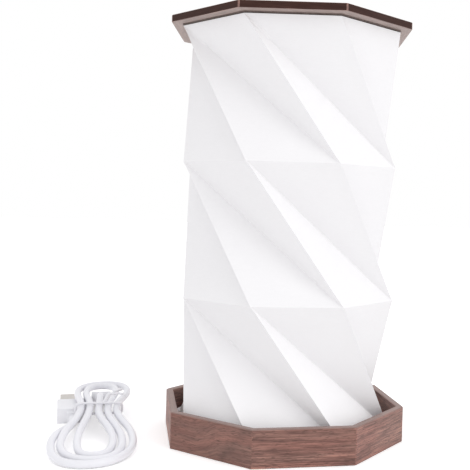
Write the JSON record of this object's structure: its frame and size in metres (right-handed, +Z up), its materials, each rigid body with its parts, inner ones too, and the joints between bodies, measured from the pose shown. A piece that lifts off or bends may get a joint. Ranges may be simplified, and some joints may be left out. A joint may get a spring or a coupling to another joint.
{
  "type": "collapsible table lamp",
  "caption": "Folding table lamp: octagonal wooden tray and lid joined by a white twisted-fold paper shade that presses flat, with light module and tied charging cable",
  "frame": {"origin": "centre of the tray's footprint, on the surface that the lamp stands on", "axes": "+Z up along the lamp's axis, -Y towards the front, the charging port faces +Y, the cable lies on the -X side"},
  "size_m": [0.1833, 0.1385, 0.2144],
  "materials": {
    "walnut": "satin oiled walnut",
    "walnut_panel": "satin oiled walnut",
    "fibreboard": "plain board",
    "soft_pad": "matt foam rubber",
    "card": "matt",
    "paper": "matt tear-proof paper",
    "white_shell": "matt moulded",
    "foil_cell": "foil laminate",
    "board": "white solder mask",
    "chips": "phosphor gel",
    "sensor": "moulded package",
    "opal": "opal diffuser",
    "steel": "zinc plated",
    "plug_metal": "nickel plated",
    "contact_tongue": "moulded",
    "lead_insulation": "wire insulation",
    "magnet": "nickel plated",
    "cable": "smooth white sheath",
    "plug_grip": "moulded white",
    "tie": "covered wire"
  },
  "bodies": {
    "base": {"tray_stave_front": "walnut", "tray_stave_front_right": "walnut", "tray_stave_right": "walnut", "tray_stave_back_right": "walnut", "tray_stave_back": "walnut", "tray_stave_back_left": "walnut", "tray_stave_left": "walnut", "tray_stave_front_left": "walnut", "tray_floor": "fibreboard", "base_pad": "soft_pad", "paper_ring": "card", "module_cup": "white_shell", "battery_cell": "foil_cell", "light_board": "board", "light_chips": "chips", "lid_sensor": "sensor", "diffuser_cap": "opal", "cup_screws": "steel", "board_screws": "steel", "charger_board": "board", "charging_socket": "plug_metal", "socket_tongue": "contact_tongue", "charging_leads": "lead_insulation", "cable_hank": "cable", "large_plug_grip": "plug_grip", "large_plug_shell": "plug_metal", "large_plug_tongue": "contact_tongue", "small_plug_grip": "plug_grip", "small_plug_shell": "plug_metal", "twist_tie": "tie"},
    "shade": {"paper_shade": "paper"},
    "lid": {"lid_panel": "walnut_panel", "lid_magnet": "magnet", "paper_plate": "card", "lid_strip_front": "walnut", "lid_strip_front_right": "walnut", "lid_strip_right": "walnut", "lid_strip_back_right": "walnut", "lid_strip_back": "walnut", "lid_strip_back_left": "walnut", "lid_strip_left": "walnut", "lid_strip_front_left": "walnut"}
  },
  "joints": [
    {"name": "shade_fold", "type": "slide", "parent": "base", "child": "shade", "axis": [0, 0, -1], "range_m": [0, 0.19215], "deforming": ["paper_shade"]},
    {"name": "lid_twist", "type": "hinge", "parent": "shade", "child": "lid", "pos_m": [0, 0, 0.21015], "axis": [0, 0, -1], "range_deg": [0, 124.3]}
  ],
  "couplings": [
    {"joint": "lid_twist", "follows": "shade_fold", "rad_per_m": 11.29}
  ]
}
